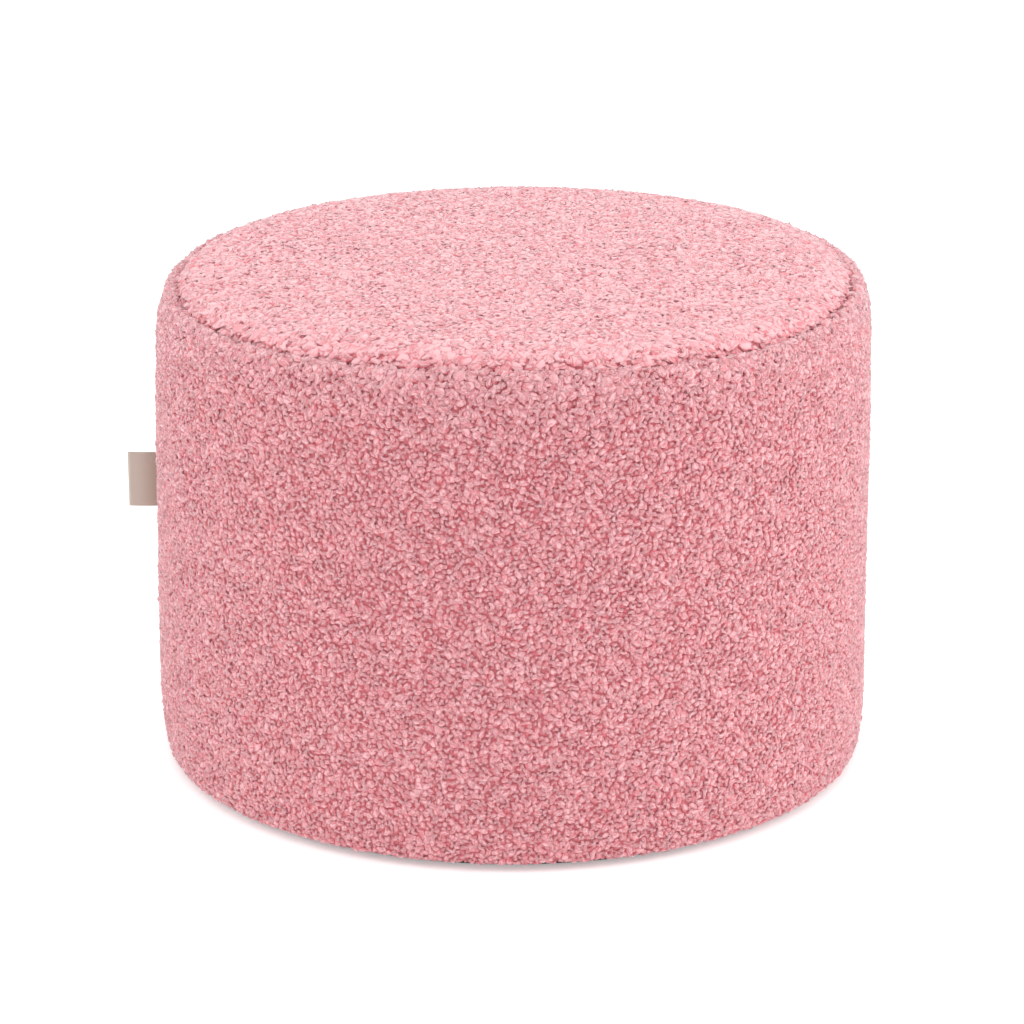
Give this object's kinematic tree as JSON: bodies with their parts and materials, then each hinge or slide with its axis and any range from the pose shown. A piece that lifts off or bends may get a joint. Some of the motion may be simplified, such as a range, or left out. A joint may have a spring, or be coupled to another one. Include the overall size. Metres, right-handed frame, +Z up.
{
  "type": "kids pouf",
  "caption": "Round filled pouf in curly boucle with a crowned top panel, straight side panel, flat base and a bare folded tape in the side seam.",
  "frame": {"origin": "middle of the base on the floor", "axes": "+Z up from the floor through the crown, -X towards the tape in the side seam, +Y away from the view in the picture"},
  "size_m": [0.4673, 0.4503, 0.315],
  "materials": {
    "boucle": "curly matte pile",
    "underside": "plain close weave",
    "tape": "smooth satin tape"
  },
  "bodies": {
    "root": {"side_panel": "boucle", "top_panel": "boucle", "base_panel": "underside", "label_tab": "tape"}
  },
  "joints": []
}
